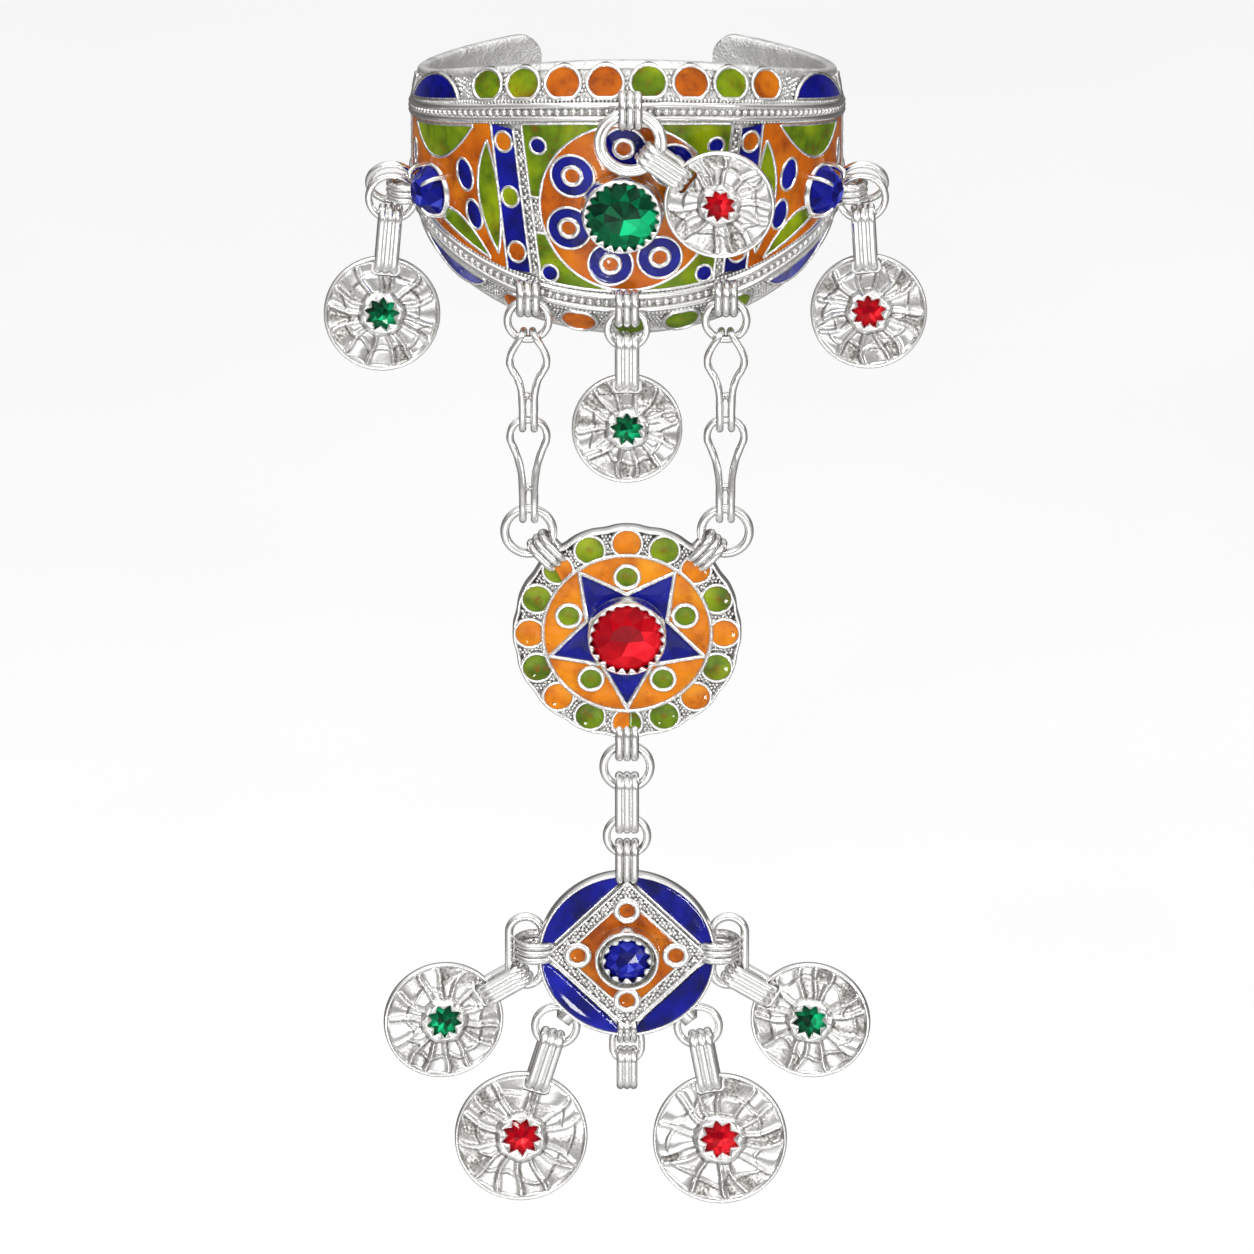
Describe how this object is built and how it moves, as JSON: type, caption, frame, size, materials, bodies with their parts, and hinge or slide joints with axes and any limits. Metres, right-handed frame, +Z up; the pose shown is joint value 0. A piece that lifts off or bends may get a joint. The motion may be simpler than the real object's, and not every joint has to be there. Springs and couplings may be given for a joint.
{
  "type": "enamelled hand bracelet",
  "caption": "Open enamelled cuff with a medallion and finger-ring plate hung from it on chains, and coin drops on rings, shown as worn with the fingers down.",
  "frame": {"origin": "centre of the wrist opening, half way up the cuff", "axes": "+Z up the arm, away from the fingers, -Y the show side that faces the viewer, +X to the viewer's right"},
  "size_m": [0.0911, 0.0606, 0.1857],
  "materials": {
    "silver": "bright worn silver, soft polish",
    "blue_enamel": "glossy, slightly pitted enamel",
    "green_enamel": "glossy, slightly pitted enamel",
    "orange_enamel": "glossy, slightly mottled enamel",
    "green_stone": "cut and polished",
    "blue_stone": "cut and polished",
    "red_stone": "cut and polished"
  },
  "bodies": {
    "root": {"cuff": "silver", "cuff_blue_enamel": "blue_enamel", "cuff_green_enamel": "green_enamel", "cuff_orange_enamel": "orange_enamel", "cuff_green_stone": "green_stone", "cuff_left_stone": "blue_stone", "cuff_right_stone": "blue_stone", "medallion": "silver", "medallion_blue_enamel": "blue_enamel", "medallion_green_enamel": "green_enamel", "medallion_orange_enamel": "orange_enamel", "medallion_red_stone": "red_stone", "ring_plate": "silver", "ring_plate_blue_enamel": "blue_enamel", "ring_plate_orange_enamel": "orange_enamel", "ring_plate_blue_stone": "blue_stone", "coin_top": "silver", "coin_left": "silver", "coin_right": "silver", "coin_centre": "silver", "coin_plate_left": "silver", "coin_plate_right": "silver", "coin_low_left": "silver", "coin_low_right": "silver", "coin_green_stones": "green_stone", "coin_red_stones": "red_stone", "jump_ring_top": "silver", "jump_ring_centre": "silver", "jump_ring_left_upper": "silver", "jump_ring_left_lower": "silver", "jump_ring_right_upper": "silver", "jump_ring_right_lower": "silver", "chain_ring_left": "silver", "chain_ring_right": "silver", "medallion_ring_left": "silver", "medallion_ring_right": "silver", "middle_ring_upper": "silver", "middle_ring_lower": "silver", "plate_ring_left": "silver", "plate_ring_right": "silver", "plate_ring_low_left": "silver", "plate_ring_low_right": "silver", "plate_ring_bottom": "silver", "link_top": "silver", "link_left": "silver", "link_right": "silver", "link_centre": "silver", "link_middle": "silver", "link_empty": "silver", "link_plate_left": "silver", "link_plate_right": "silver", "link_low_left": "silver", "link_low_right": "silver", "keyhole_left_upper": "silver", "keyhole_left_lower": "silver", "keyhole_right_upper": "silver", "keyhole_right_lower": "silver"}
  },
  "joints": []
}
